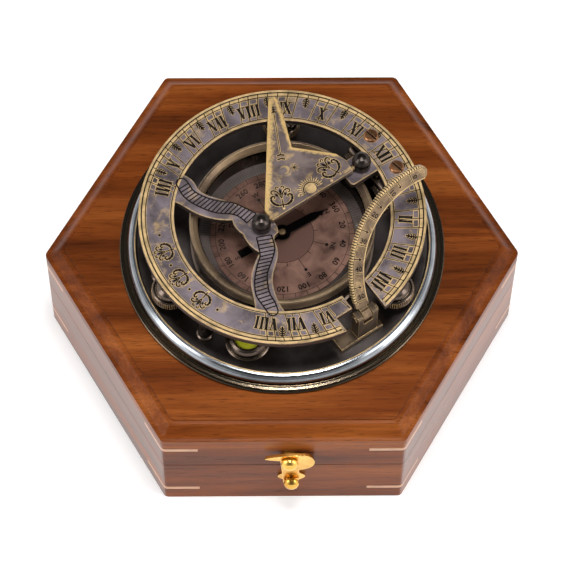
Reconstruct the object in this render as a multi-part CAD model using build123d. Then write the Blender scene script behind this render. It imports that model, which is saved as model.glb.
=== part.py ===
"""Universal equinoctial sundial compass standing on its hexagonal hardwood case.

Millimetres, +Z up, origin in the middle of the case's bottom face, latch towards -Y.
The dial is drawn in its own frame: +X to the noon mark, +Y to the morning hours,
z = 0 on its foot; place_on_lid() turns it and puts it on the lid.
"""
from build123d import *
import math
import os

# ---- case ----
CASE_R = 88.0            # middle of the case to a pointed corner
CASE_APOTHEM = CASE_R * math.cos(math.radians(30))
CORNER_ROUND = 2.2
CASE_TOP = 55.0
SEAM_Z = 29.3            # top of the case body
SEAM_GAP = 0.3
WALL = 8.0
BOTTOM_BOARD = 5.0
TOP_BOARD = 9.0
MOULD_DROP = 5.0         # fall of the edge moulding
MOULD_WIDTH = 6.5
MOULD_STEP = 1.1         # small step at the moulding's upper edge
MOULD_SWING = 0.16       # how far the S curve swings off a straight slope
MOULD_STEPS = 8
KEY_THICK = 2.0
KEY_DEPTH = 6.5          # how far a corner key runs in from the corner
LID_KEY_Z = 42.4
CASE_KEY_Z = 8.4
FELT = 1.0
POCKET_R = 62.5
NEST_TOP = 22.0

# ---- case hinges and latch ----
HINGE_X = 25.0
HINGE_LEN = 20.0
KNUCKLES = 5
BARREL_R = 1.9
BARREL_PIN_R = 0.9
BARREL_Y = CASE_APOTHEM + 2.1
BARREL_Z = SEAM_Z + SEAM_GAP / 2
LEAF_T = 1.0
LEAF_DEPTH = 6.0
WOOD_SCREW_R = 1.6
KNOB_UP = (2.2, 38.0)    # x, z of the latch pivot on the lid
KNOB_LOW = (3.0, 20.8)   # x, z of the catch stud on the body
KNOB_UP_R = 3.25
KNOB_LOW_R = 2.95
STUD_R = 1.6
KNOB_SHANK = 10.0        # from under the knob's head to the end of its shank
LEVER_T = 1.2
PLATE_T = 1.0
RUNNING = 0.05           # radial clearance of a shaft in its hole
FAR = 20.0               # more than any cut needs to run past a piece's face
KNUCKLE_GAP = 0.1
RELIEF_GAP = 0.25        # hollow in the wood round the hinge barrel
LEAF_SCREW_X = 6.5       # hinge screws, either side of a leaf's middle
LEAF_SCREW_LONG = 8.0
LEVER_GAP = 0.4          # lever behind and in front: free of plate and knob head
DIAMOND_WIDE = 5.6
DIAMOND_TALL = 6.4
DIAMOND_ROUND = 1.6
WASHER_R = 2.9

# ---- dial ----
NOON_AZIMUTH = 34.7      # degrees from +X to the noon mark
DIAL_GAP = 0.1           # dial foot above the lid
BASE_R = 60.0
LIP_R = 54.3
LIP_Z = 5.9
FLOOR_Z = 4.2
RECESS_R = 50.0
RECESS_Z = 1.6
BOX_R = 33.0
BOX_WALL = 1.6
BOX_IN = BOX_R - BOX_WALL
BOX_TOP = 18.8
BEZEL_R = 33.9
BEZEL_IN = 31.3
BEZEL_TOP = 21.0
CARD_Z = 10.0            # top of the compass card
CARD_R = 26.6
CARD_T = 1.2
SHELF_Z = CARD_Z - CARD_T  # raised floor of the compass box
SHELF_T = 1.4
NEEDLE_Z = 11.6          # underside of the needle
NEEDLE_T = 0.4
NEEDLE_LONG = 18.2       # half the needle
NEEDLE_HALF = 1.5        # half its width
NEEDLE_POINT = 5.0       # length of the tapered north end
NEEDLE_HUB = 3.1
CAP_R = 1.3
PIVOT_FOOT_R = 1.15
NEEDLE_TURN = -4.2       # degrees from noon to magnetic north
GLASS_Z = 18.9
GLASS_T = 1.0
SEAT_WALL = 0.9
RING_R = 52.3
RING_IN = 39.3
RING_TOP = 25.8
RING_T = 2.5
RING_BOTTOM = RING_TOP - RING_T
TILT_N = 39.0            # ring hinge axis, along noon
TILT_Z = 19.0            # and its height
TILT_PIN_R = 1.1
TILT_EAR_IN = 6.3        # inner and outer faces of the hinge block's ears
TILT_EAR_OUT = 10.0
TILT_BARREL_R = 2.4
KNUCKLE_HALF = 6.0
BRACKET_HALF = 11.0
BRACKET_T = 1.6
RING_SCREW_AT = 45.4     # bracket screws, along noon
RING_SCREW_SIDE = 8.0    # and to either side of it
RING_SCREW_SLOT = 100.0  # direction of their slots, degrees
POST_R = 3.5
POST_PEG_R = 1.6         # peg that goes down through the hour ring
POST_SOUTH = -9.3
POST_NORTH = 35.2
FOLD_Z = 28.0            # gnomon pivot height
GNOMON_T = 1.8
GNOMON_PIN_R = 0.8
PIN_INSIDE = (-2.0, 27.0)  # inner ends of the two pivot pins, along noon
PIN_SHORT = 0.3          # from a pin's outer end to the middle of its post
ARC_N = TILT_N           # middle of the latitude arc, along noon
ARC_IN = 33.2
ARC_OUT = 38.5
ARC_T = 1.6
ARC_LEAN = 43.5          # degrees from upright, inwards
ARC_START = 5.0          # degrees along the arc where the scale band begins
ARC_SPAN = 98.0
ARC_LINE = -47.0         # arc pivot line, beside the noon line
ARC_Z = TILT_Z
ARC_EYE_R = 2.2
CLEVIS_N = ARC_N - (ARC_IN + ARC_OUT) / 2
CLEVIS_GAP = 4.0
CLEVIS_EAR = 2.2
CLEVIS_DEPTH = 4.4
CLEVIS_FOOT = (-8.6, 9.6)
TANG_W = 3.4
TANG_TALL = 4.2
ARC_PIN_R = 0.9
PIN_HEAD_R = 1.5
PIN_HEAD_T = 0.7
SCREW_RING = 47.0        # levelling screws and rest pillars stand on this circle
SCREW_AZIMUTHS = (-184.7, -64.7, 55.3)
PILLAR_AZIMUTHS = (-197.7, -161.7)
LEVEL_AT = (42.8, -142.1)
LEVEL_R = 8.2
VIAL_Z = FLOOR_Z + 1.4
VIAL_R = 5.0
BOSS_R = 4.6             # thickening of the base round a levelling screw
THREAD_R = 2.4


def polar(radius, degrees):
    return (radius * math.cos(math.radians(degrees)), radius * math.sin(math.radians(degrees)))


def bar(radius, length):
    """Cylinder standing on the origin."""
    return Cylinder(radius, length, align=(Align.CENTER, Align.CENTER, Align.MIN))


def rod(radius, low, high, at=(0, 0)):
    """Upright cylinder from height low to height high."""
    return Pos(at[0], at[1], low) * bar(radius, high - low)


def block(low, high):
    size = [b - a for a, b in zip(low, high)]
    return Pos(*low) * Box(*size, align=(Align.MIN, Align.MIN, Align.MIN))


def slab(face, low, high):
    """Flat face in the XY plane made into a plate between two heights."""
    return Pos(0, 0, low) * extrude(face, high - low, dir=(0, 0, 1))


def turned(points):
    """Solid of revolution about Z from an outline of (radius, height) points."""
    return revolve(make_face(Plane.XZ * Polyline(*points, close=True)), Axis.Z)


def along_x(radius, start, end, y, z):
    return Pos(start, y, z) * Rot(0, 90, 0) * bar(radius, end - start)


def along_y(radius, start, end, x, z):
    return Pos(x, start, z) * Rot(-90, 0, 0) * bar(radius, end - start)


# ---------------------------------------------------------------- case

def hexagon(apothem, rounded=CORNER_ROUND):
    """Hexagon face with pointed corners on +X and -X."""
    face = Sketch() + RegularPolygon(apothem, 6, major_radius=False, rotation=0)
    if rounded > 0:
        face = fillet(face.vertices(), rounded)
    return face


def sector(azimuth, height_low, height_high):
    """Sixth part of a turn, centred on an azimuth, for mitring the boards."""
    reach = 2 * CASE_R
    corners = [(0, 0), polar(reach, azimuth - 30), polar(reach, azimuth + 30)]
    return slab(make_face(Polyline(*corners, close=True)), height_low, height_high)


def corner_key(azimuth, z):
    """Thin slip of wood let in across a corner."""
    body = slab(hexagon(CASE_APOTHEM), z - KEY_THICK / 2, z + KEY_THICK / 2)
    half = CASE_R / 2
    corner = block((CASE_R - KEY_DEPTH, -half, z - KEY_THICK), (CASE_R + 1, half, z + KEY_THICK))
    return body & (Rot(0, 0, azimuth) * corner)


def corner_keys(z):
    return [corner_key(60 * i, z) for i in range(6)]


def side_boards(low, high, keys):
    """Six mitred boards with the key slots already cut."""
    ring = slab(hexagon(CASE_APOTHEM), low, high) - slab(hexagon(CASE_APOTHEM - WALL, 0), low, high)
    for key in keys:
        ring -= key
    return [(ring & sector(60 * i + 30, low, high)).solids()[0] for i in range(6)]


def moulding_rise(share):
    """Height above the outer edge, at a share of the way in: an S curve."""
    return (MOULD_DROP - MOULD_STEP) * (share - MOULD_SWING * math.sin(2 * math.pi * share))


def lid_top_board():
    """Top board whose edge rises in an S-curved moulding to a small step."""
    edge_z = CASE_TOP - MOULD_DROP
    board = slab(hexagon(CASE_APOTHEM), CASE_TOP - TOP_BOARD, edge_z)
    board += slab(hexagon(CASE_APOTHEM - MOULD_WIDTH), edge_z, CASE_TOP)
    for i in range(MOULD_STEPS):
        rings = []
        for share in (i / MOULD_STEPS, (i + 1) / MOULD_STEPS):
            face = hexagon(CASE_APOTHEM - MOULD_WIDTH * share)
            rings.append(Pos(0, 0, edge_z + moulding_rise(share)) * face)
        board += loft(rings)
    return board


def nest_block():
    """Felt-covered block that takes the dial when it is put away."""
    block_body = slab(hexagon(CASE_APOTHEM - WALL, 0), BOTTOM_BOARD + FELT, NEST_TOP)
    return block_body - rod(POCKET_R, 0, CASE_TOP)


def felt_sheet(low):
    return slab(hexagon(CASE_APOTHEM - WALL, 0), low, low + FELT)


def barrel_pieces(x, odd):
    """Knuckles of one leaf: the outer ones of three, or the two between them."""
    length = HINGE_LEN / KNUCKLES
    start = x - HINGE_LEN / 2
    picked = range(0, KNUCKLES, 2) if odd else range(1, KNUCKLES, 2)
    pieces = []
    for i in picked:
        low = start + i * length + KNUCKLE_GAP
        high = start + (i + 1) * length - KNUCKLE_GAP
        pieces.append(along_x(BARREL_R, low, high, BARREL_Y, BARREL_Z))
    return pieces


def hinge_leaf(x, on_body):
    """Butt hinge leaf let into the edge of the wood, with its knuckles."""
    low = SEAM_Z - LEAF_T if on_body else SEAM_Z + SEAM_GAP
    half = HINGE_LEN / 2
    leaf = block((x - half, CASE_APOTHEM - LEAF_DEPTH, low), (x + half, BARREL_Y, low + LEAF_T))
    length = HINGE_LEN / KNUCKLES
    other = range(1, KNUCKLES, 2) if on_body else range(0, KNUCKLES, 2)
    for i in other:
        start = x - half + i * length - KNUCKLE_GAP
        end = start + length + 2 * KNUCKLE_GAP
        leaf -= block((start, CASE_APOTHEM + 0.05, low - 1), (end, BARREL_Y + 3, low + 3))
    for knuckle in barrel_pieces(x, on_body):
        leaf += knuckle
    leaf -= along_x(BARREL_PIN_R + RUNNING, x - HINGE_LEN, x + HINGE_LEN, BARREL_Y, BARREL_Z)
    for screw in leaf_screws(x, on_body):
        leaf -= screw
    return leaf


def leaf_screws(x, on_body):
    """Countersunk wood screws that hold one leaf, flush with its face."""
    y = CASE_APOTHEM - LEAF_DEPTH / 2
    face = SEAM_Z if on_body else SEAM_Z + SEAM_GAP
    way = -1 if on_body else 1
    shank = WOOD_SCREW_R / 2
    outline = [(0, 0), (WOOD_SCREW_R, 0), (shank, 0.9 * way), (shank, (LEAF_SCREW_LONG - 1) * way),
               (0, LEAF_SCREW_LONG * way)]
    return [Pos(x + side * LEAF_SCREW_X, y, face) * turned(outline) for side in (-1, 1)]


def leaf_pocket(x, on_body):
    """Wood taken away for a leaf and its screws."""
    low = SEAM_Z - LEAF_T if on_body else SEAM_Z + SEAM_GAP
    half = HINGE_LEN / 2
    pocket = block((x - half, CASE_APOTHEM - LEAF_DEPTH, low), (x + half, CASE_APOTHEM + 5, low + LEAF_T))
    for screw in leaf_screws(x, on_body):
        pocket += screw
    return pocket


def barrel_relief(x):
    """Hollow in the edges behind the barrel."""
    reach = HINGE_LEN / 2 + 0.3
    return along_x(BARREL_R + RELIEF_GAP, x - reach, x + reach, BARREL_Y, BARREL_Z)


def cut_for_hinges(boards, on_body):
    result = []
    for board in boards:
        for x in (-HINGE_X, HINGE_X):
            board = board - leaf_pocket(x, on_body) - barrel_relief(x)
        result.append(board.solids()[0])
    return result


def domed_knob(x, z, radius, face_y):
    """Knob with a thin shank into the wood and a domed head, pointing to -Y."""
    wood = CASE_APOTHEM + face_y
    shank = [(0, -KNOB_SHANK), (1.0, -KNOB_SHANK), (1.0, wood), (STUD_R, wood), (STUD_R, 0)]
    head = [(radius * 0.9, 0), (radius, 0.7), (radius * 0.93, 1.5), (radius * 0.72, 2.4),
            (radius * 0.38, 3.0), (0, 3.2)]
    return Pos(x, face_y, z) * Rot(90, 0, 0) * turned(shank + head)


LEVER_BACK = -CASE_APOTHEM - PLATE_T - LEVER_GAP
LEVER_FRONT = LEVER_BACK - LEVER_T
KNOB_FACE = LEVER_FRONT - 0.3


def front_plate(face, back_y, thick):
    """Face drawn as (x, z) made into a plate standing on the front of the case."""
    return Pos(0, back_y, 0) * Rot(90, 0, 0) * extrude(face, thick, dir=(0, 0, 1))


def latch_lever():
    """Comma-shaped lever: leaf-shaped thumb tab, round lobe and an arm down to the catch stud."""
    ux, uz = KNOB_UP
    lx, lz = KNOB_LOW
    arm = make_face(Polyline((ux - 3.5, uz + 1.5), (ux + 3.2, uz + 1.5), (lx + 3.0, lz + 2.0),
                             (lx + 3.0, lz - 2.8), (lx - 3.0, lz - 2.8), (lx - 3.2, lz + 2.0), close=True))
    tip, shoulder, root = (ux - 9.0, uz + 1.6), (ux + 5.0, uz + 4.4), (ux + 3.0, uz + 0.5)
    leaf = make_face(ThreePointArc(tip, (ux - 3.0, uz + 4.1), shoulder) + Line(shoulder, root)
                     + ThreePointArc(root, (ux - 4.0, uz + 0.2), tip))
    lobe = Pos(ux + 5.2, uz - 1.1) * Ellipse(3.9, 5.7)
    heel = Pos(ux + 2.6, uz - 5.0) * Ellipse(4.6, 2.8)
    free = STUD_R + 0.3
    notch = make_face(Polyline((lx - free, lz - 9), (lx - free, lz + free), (lx + 9, lz + free),
                               (lx + 9, lz - 9), close=True))
    face = arm + leaf + lobe + heel - notch
    plate = front_plate(face, LEVER_BACK, LEVER_T)
    return plate - along_y(STUD_R + RUNNING, KNOB_FACE - 1, -CASE_APOTHEM, ux, uz)


def diamond_plate():
    lx, lz = KNOB_LOW
    corners = [(lx - DIAMOND_WIDE, lz), (lx, lz + DIAMOND_TALL),
               (lx + DIAMOND_WIDE, lz), (lx, lz - DIAMOND_TALL)]
    face = make_face(Polyline(*corners, close=True))
    face = fillet(face.vertices(), DIAMOND_ROUND)
    return front_plate(face, -CASE_APOTHEM, PLATE_T) - along_y(STUD_R, -CASE_R, -CASE_APOTHEM + 1, lx, lz)


def pivot_washer():
    ux, uz = KNOB_UP
    ring = along_y(WASHER_R, -CASE_APOTHEM - PLATE_T, -CASE_APOTHEM, ux, uz)
    return ring - along_y(STUD_R, -CASE_R, -CASE_APOTHEM + 1, ux, uz)


# ---------------------------------------------------------------- dial, fixed pieces

def base_dish():
    """Turned brass dish: foot, fine grooves, round polished rim, lip and a flat floor."""
    outline = [(RECESS_R, 0), (BASE_R - 0.3, 0), (BASE_R, 0.3), (BASE_R, 1.1), (59.7, 1.4), (59.2, 1.4),
               (59.0, 1.9), (58.4, 2.0), (58.3, 1.8), (58.1, 1.8), (58.0, 2.1), (57.8, 2.1), (57.7, 1.9),
               (57.5, 1.9), (57.4, 2.3), (57.3, 3.0), (57.0, 3.8), (56.5, 4.6), (55.9, 5.2), (55.2, 5.6),
               (54.7, 5.7), (54.6, 5.9), (LIP_R - 0.3, LIP_Z), (53.9, 5.7), (53.6, 5.0), (53.3, FLOOR_Z),
               (0, FLOOR_Z), (0, RECESS_Z), (RECESS_R - 0.6, RECESS_Z)]
    dish = turned(outline)
    for azimuth in SCREW_AZIMUTHS:
        at = polar(SCREW_RING, azimuth)
        dish += rod(BOSS_R, 0, FLOOR_Z, at)
        dish -= rod(THREAD_R + RUNNING, -1, FLOOR_Z + 1, at)
    return dish


def compass_box():
    """Round box open at the top, with a raised floor for the card and a foot flange."""
    flange = BOX_R + 0.8
    below = SHELF_Z - SHELF_T
    outline = [(BOX_IN, FLOOR_Z), (flange, FLOOR_Z), (flange, FLOOR_Z + 1.2), (BOX_R, FLOOR_Z + 1.8),
               (BOX_R, BOX_TOP), (BOX_IN, BOX_TOP), (BOX_IN, SHELF_Z), (0, SHELF_Z), (0, below),
               (BOX_IN, below)]
    return turned(outline)


def compass_card():
    return rod(CARD_R, SHELF_Z, CARD_Z) - rod(PIVOT_FOOT_R + RUNNING, 0, CARD_Z + 1)


def degree_ring():
    """Fixed ring round the card that carries the outer division marks."""
    return turned([(CARD_R, SHELF_Z), (BOX_IN, SHELF_Z), (BOX_IN, CARD_Z + 0.7),
                   (CARD_R + 0.3, CARD_Z + 0.1), (CARD_R, CARD_Z)])


def compass_glass():
    return rod(BOX_IN - RUNNING, GLASS_Z - GLASS_T, GLASS_Z)


def glass_seat():
    """Spring ring that holds the glass up against the bezel."""
    return rod(BOX_IN, CARD_Z + 0.75, GLASS_Z - GLASS_T) - rod(BOX_IN - SEAT_WALL, CARD_Z, GLASS_Z)


def compass_bezel():
    skirt = BOX_TOP - 2.2
    return turned([(BOX_R, skirt), (BEZEL_R, skirt), (BEZEL_R, BEZEL_TOP - 0.5),
                   (BEZEL_R - 0.4, BEZEL_TOP), (BEZEL_R - 1.2, BEZEL_TOP), (BEZEL_IN, BEZEL_TOP - 1.2),
                   (BEZEL_IN - 0.5, GLASS_Z), (BOX_IN, GLASS_Z), (BOX_IN, BOX_TOP), (BOX_R, BOX_TOP)])


def needle_pivot():
    """Pointed steel pin on which the needle turns."""
    tip = NEEDLE_Z + 0.1
    return turned([(0, SHELF_Z), (PIVOT_FOOT_R, SHELF_Z), (PIVOT_FOOT_R, CARD_Z), (0.6, CARD_Z + 0.3),
                   (0.5, tip - 0.6), (0.08, tip), (0, tip)])


def compass_needle():
    """Blackened bar needle, pointed to the north and blunt to the south, with a round hub."""
    head = NEEDLE_LONG - NEEDLE_POINT
    outline = Polyline((-NEEDLE_LONG, -NEEDLE_HALF), (head, -NEEDLE_HALF), (NEEDLE_LONG, 0),
                       (head, NEEDLE_HALF), (-NEEDLE_LONG, NEEDLE_HALF), close=True)
    plate = slab(make_face(outline) + Circle(NEEDLE_HUB), NEEDLE_Z, NEEDLE_Z + NEEDLE_T)
    return Rot(0, 0, NEEDLE_TURN) * (plate - rod(CAP_R, 0, CASE_TOP))


def needle_cap():
    """Brass cap that sits on the pivot's point."""
    top = NEEDLE_Z + NEEDLE_T
    low = NEEDLE_Z + 0.15
    return turned([(0, low), (CAP_R, low), (CAP_R, top + 0.2), (CAP_R - 0.3, top + 0.7), (0, top + 0.9)])


def level_housing():
    """Stepped round housing of the bull's-eye level."""
    outline = [(0, FLOOR_Z), (LEVEL_R, FLOOR_Z), (LEVEL_R, FLOOR_Z + 0.9), (7.7, FLOOR_Z + 1.3),
               (7.4, FLOOR_Z + 1.3), (7.1, FLOOR_Z + 2.6), (6.5, FLOOR_Z + 3.6), (5.6, FLOOR_Z + 4.1),
               (VIAL_R, FLOOR_Z + 4.1), (VIAL_R, VIAL_Z), (0, VIAL_Z)]
    return Pos(*polar(*LEVEL_AT), 0) * turned(outline)


def level_vial():
    """Glass of the round level, slightly domed on top."""
    edge = VIAL_R - RUNNING
    outline = [(0, VIAL_Z), (edge, VIAL_Z), (edge, VIAL_Z + 2.0), (3.5, VIAL_Z + 2.45), (1.8, VIAL_Z + 2.65),
               (0, VIAL_Z + 2.7)]
    return Pos(*polar(*LEVEL_AT), 0) * turned(outline)


def rest_pillars():
    """Two turned pillars under the morning side, on which the closed ring rests."""
    top = RING_BOTTOM - 0.1
    outline = [(0, FLOOR_Z), (3.1, FLOOR_Z), (3.1, FLOOR_Z + 0.9), (2.5, FLOOR_Z + 1.4), (2.5, top - 0.6),
               (2.0, top), (0, top)]
    return [Pos(*polar(SCREW_RING, a), 0) * turned(outline) for a in PILLAR_AZIMUTHS]


def levelling_screw(azimuth):
    """Screw through the base with a thumb head and a domed top."""
    shank = [(0, 0), (1.6, 0), (THREAD_R, 0.8), (THREAD_R, 8.6)]
    head = [(3.6, 8.8), (6.2, 9.0), (6.8, 9.5), (6.8, 13.0), (6.3, 13.4)]
    dome = [(5.4, 13.5), (4.9, 14.7), (3.7, 15.7), (1.9, 16.3), (0, 16.4)]
    return Pos(*polar(SCREW_RING, azimuth), 0) * turned(shank + head + dome)


def latitude_clevis():
    """Foot bar along noon with two ears that hold the latitude arc."""
    half = CLEVIS_GAP / 2 + CLEVIS_EAR
    back = ARC_LINE + CLEVIS_DEPTH / 2
    front = ARC_LINE - CLEVIS_DEPTH / 2
    foot_top = FLOOR_Z + 2.6
    foot = block((CLEVIS_FOOT[0], front - 0.6, FLOOR_Z), (CLEVIS_FOOT[1], back + 1.0, foot_top))
    foot = chamfer(foot.edges().filter_by(Axis.X).group_by(Axis.Z)[-1], 0.4)
    upright = block((CLEVIS_N - half, front, foot_top - 0.5), (CLEVIS_N + half, back, ARC_Z + 1.8))
    upright = fillet(upright.edges().filter_by(Axis.X).group_by(Axis.Z)[-1], 0.8)
    gap = CLEVIS_GAP / 2
    slot = block((CLEVIS_N - gap, front - 1, ARC_Z - 3.2), (CLEVIS_N + gap, back + 1, ARC_Z + 5))
    return foot + upright - slot - along_x(ARC_PIN_R, CLEVIS_N - FAR, CLEVIS_N + FAR, ARC_LINE, ARC_Z)


def clevis_pin():
    """Riveted pin on which the latitude arc leans."""
    half = CLEVIS_GAP / 2 + CLEVIS_EAR
    pin = along_x(ARC_PIN_R, CLEVIS_N - half, CLEVIS_N + half, ARC_LINE, ARC_Z)
    for end in (CLEVIS_N - half - PIN_HEAD_T, CLEVIS_N + half):
        pin += along_x(PIN_HEAD_R, end, end + PIN_HEAD_T, ARC_LINE, ARC_Z)
    return pin


def tilt_block():
    """Hinge block on the floor under XII, with two ears for the ring's knuckle."""
    back = TILT_N - 4.0
    high = TILT_EAR_OUT
    body = block((back, -high, FLOOR_Z), (TILT_N + 1.4, high, TILT_Z))
    body += block((back, -high - 2, FLOOR_Z), (TILT_N + 6.0, high + 2, FLOOR_Z + 2.4))
    body += along_y(TILT_BARREL_R, -high, high, TILT_N, TILT_Z)
    body -= block((TILT_N - 6, -TILT_EAR_IN, TILT_Z - 4.0), (TILT_N + 6, TILT_EAR_IN, TILT_Z + 6))
    return body - along_y(TILT_PIN_R, -FAR, FAR, TILT_N, TILT_Z)


def tilt_pin():
    """Riveted pin of the ring's hinge."""
    head = 0.8
    pin = along_y(TILT_PIN_R, -TILT_EAR_OUT, TILT_EAR_OUT, TILT_N, TILT_Z)
    for start in (-TILT_EAR_OUT - head, TILT_EAR_OUT):
        pin += along_y(1.8, start, start + head, TILT_N, TILT_Z)
    return pin


# ---------------------------------------------------------------- dial, moving pieces

# Outline of the two curved arms and their hub: smooth runs that meet in corners.
ARM_RUNS = [
    [(-23.0, 36.5), (-19.6, 33.0), (-18.8, 29.8), (-19.2, 26.7)],
    [(-19.2, 26.7), (-18.6, 23.6), (-15.1, 18.3), (-11.3, 12.8), (-8.0, 7.0), (-4.6, 1.0)],
    [(-4.6, 1.0), (-4.4, -2.5), (-5.5, -5.2)],
    [(-5.5, -5.2), (-8.3, -6.6), (-9.2, -9.5), (-11.4, -13.2), (-17.3, -18.6), (-21.1, -26.3),
     (-22.0, -31.5), (-21.0, -37.0)],
    [(-21.0, -37.0), (-33.0, -28.5)],
    [(-33.0, -28.5), (-29.3, -24.6), (-25.9, -17.4), (-20.7, -11.5), (-15.6, -8.2)],
    [(-15.6, -8.2), (-16.9, -3.0), (-16.3, 1.5)],
    [(-16.3, 1.5), (-17.0, 5.0), (-16.2, 8.5)],
    [(-16.2, 8.5), (-21.1, 12.4), (-25.6, 18.8), (-28.1, 24.9), (-31.5, 29.5)],
    [(-31.5, 29.5), (-23.0, 36.5)],
]
TONGUE_END = 27.6
TONGUE_HALF = 4.9
NOTCH_OUTER = (-8.4, 8.6)      # along noon, outside the notch line
NOTCH_INNER = (-1.6, 8.6)      # along noon, inside it
NOTCH_LINE = 45.4


def arms():
    """Flat face of the arms and hub."""
    edges = Curve()
    for run in ARM_RUNS:
        edges += Spline(*run) if len(run) > 2 else Line(*run)
    return make_face(edges)


def hour_ring():
    """Flat hour ring with two curved arms to a hub, and a tongue under XII."""
    face = Circle(RING_R) - Circle(RING_IN)
    face += arms()
    tongue = Rectangle(RING_IN + 1 - TONGUE_END, 2 * TONGUE_HALF, align=(Align.MIN, Align.CENTER))
    face += Pos(TONGUE_END, 0) * fillet(tongue.vertices().group_by(Axis.X)[0], 1.5)
    outer_low, outer_high = NOTCH_OUTER
    inner_low, inner_high = NOTCH_INNER
    face -= Pos((outer_low + outer_high) / 2, -NOTCH_LINE - 5) * Rectangle(outer_high - outer_low, 10)
    face -= Pos((inner_low + inner_high) / 2, -NOTCH_LINE + 4) * Rectangle(inner_high - inner_low, 10)
    ring = slab(face, RING_BOTTOM, RING_TOP)
    for screw in ring_screws():
        ring -= screw
    for at in (POST_SOUTH, POST_NORTH):
        ring -= rod(POST_PEG_R, 0, RING_TOP + 1, (at, 0))
    return ring


def tilt_bracket():
    """Plate under the ring at XII with the knuckle that turns on the hinge pin."""
    half = KNUCKLE_HALF
    low = RING_BOTTOM - BRACKET_T
    plate = block((TILT_N + 3.9, -BRACKET_HALF, low), (TILT_N + 10.0, BRACKET_HALF, RING_BOTTOM))
    knuckle = along_y(TILT_BARREL_R - 0.1, -half, half, TILT_N, TILT_Z)
    web = block((TILT_N - 1.2, -half, TILT_Z + 0.5), (TILT_N + 5.5, half, RING_BOTTOM))
    body = plate + knuckle + web
    body -= along_y(TILT_PIN_R + RUNNING, -FAR, FAR, TILT_N, TILT_Z)
    for screw in ring_screws():
        body -= screw
    return body


def ring_screws():
    """Two slotted screws beside XII that hold the bracket."""
    low = RING_BOTTOM - 1.5
    outline = [(0, low), (1.2, low), (1.2, RING_TOP - 0.5), (2.7, RING_TOP - 0.4),
               (2.7, RING_TOP + 0.5), (2.2, RING_TOP + 0.9), (0, RING_TOP + 1.0)]
    screws = []
    for side in (-RING_SCREW_SIDE, RING_SCREW_SIDE):
        slot = Pos(0, 0, RING_TOP + 0.9) * Rot(0, 0, RING_SCREW_SLOT) * Box(6, 0.7, 1.0)
        screws.append(Pos(RING_SCREW_AT, side, 0) * (turned(outline) - slot))
    return screws


def gnomon_post(n, inward):
    """Round-headed post with a blind hole for the gnomon's pivot pin."""
    peg = [(0, RING_BOTTOM + 0.2), (POST_PEG_R, RING_BOTTOM + 0.2), (POST_PEG_R, RING_TOP)]
    neck = [(POST_R - 0.5, RING_TOP), (POST_R - 0.5, RING_TOP + 0.6), (POST_R, RING_TOP + 1.0)]
    head = [(POST_R, FOLD_Z + 1.0), (3.3, FOLD_Z + 2.2), (2.7, FOLD_Z + 3.3), (1.6, FOLD_Z + 4.1),
            (0, FOLD_Z + 4.4)]
    start = n if inward > 0 else n - 6
    hole = along_x(GNOMON_PIN_R + RUNNING, start, start + 6, 0, FOLD_Z)
    return Pos(n, 0, 0) * turned(peg + neck + head) - hole


GNOMON_OUTLINE = [(-5.2, -1.3), (30.4, -1.3), (31.0, 3.6), (29.4, 8.0), (17.8, 19.4), (25.2, 37.4),
                  (24.9, 40.4), (23.2, 41.6), (21.6, 39.8), (-5.2, 3.77)]


def gnomon_plate():
    """Shadow plate lying flat to the morning side."""
    face = make_face(Polyline(*GNOMON_OUTLINE, close=True))
    plate = slab(face, FOLD_Z - GNOMON_T / 2, FOLD_Z + GNOMON_T / 2)
    for pin in gnomon_pins():
        plate -= pin
    return plate


def gnomon_pins():
    """Two pivot pins in line, from the plate into the posts."""
    inner_south, inner_north = PIN_INSIDE
    south = along_x(GNOMON_PIN_R, POST_SOUTH + PIN_SHORT, inner_south, 0, FOLD_Z)
    north = along_x(GNOMON_PIN_R, inner_north, POST_NORTH - PIN_SHORT, 0, FOLD_Z)
    return [south, north]


def on_arc(radius, degrees):
    """Point of the latitude arc in its own plane, as (along noon, height over the pivot line)."""
    x, y = polar(radius, degrees)
    return (ARC_N - x, y)


def latitude_arc():
    """Quarter-circle scale on a tang, drawn upright and then leant over its pivot line."""
    mid = (ARC_IN + ARC_OUT) / 2
    stops = (ARC_START, (ARC_START + ARC_SPAN) / 2, ARC_SPAN)
    start_in, mid_in, end_in = [on_arc(ARC_IN, degrees) for degrees in stops]
    start_out, mid_out, end_out = [on_arc(ARC_OUT, degrees) for degrees in stops]
    tip = on_arc(mid, ARC_SPAN + math.degrees((ARC_OUT - ARC_IN) / 2 / mid))
    outline = (ThreePointArc(start_in, mid_in, end_in) + ThreePointArc(end_in, tip, end_out)
               + ThreePointArc(end_out, mid_out, start_out) + Line(start_out, start_in))
    tang = Pos(CLEVIS_N, TANG_TALL / 2) * Rectangle(TANG_W, TANG_TALL)
    plate = extrude(make_face(outline) + tang, ARC_T / 2, both=True)
    plate = Rot(90, 0, 0) * plate
    eye = along_x(ARC_EYE_R, CLEVIS_N - TANG_W / 2, CLEVIS_N + TANG_W / 2, 0, 0)
    hole = along_x(ARC_PIN_R + RUNNING, CLEVIS_N - FAR, CLEVIS_N + FAR, 0, 0)
    return Pos(0, ARC_LINE, ARC_Z) * Rot(-ARC_LEAN, 0, 0) * (plate + eye - hole)


# ---------------------------------------------------------------- assembly

def place_on_lid(pieces):
    move = Pos(0, 0, CASE_TOP + DIAL_GAP) * Rot(0, 0, NOON_AZIMUTH)
    return [move * piece for piece in pieces]


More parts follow.
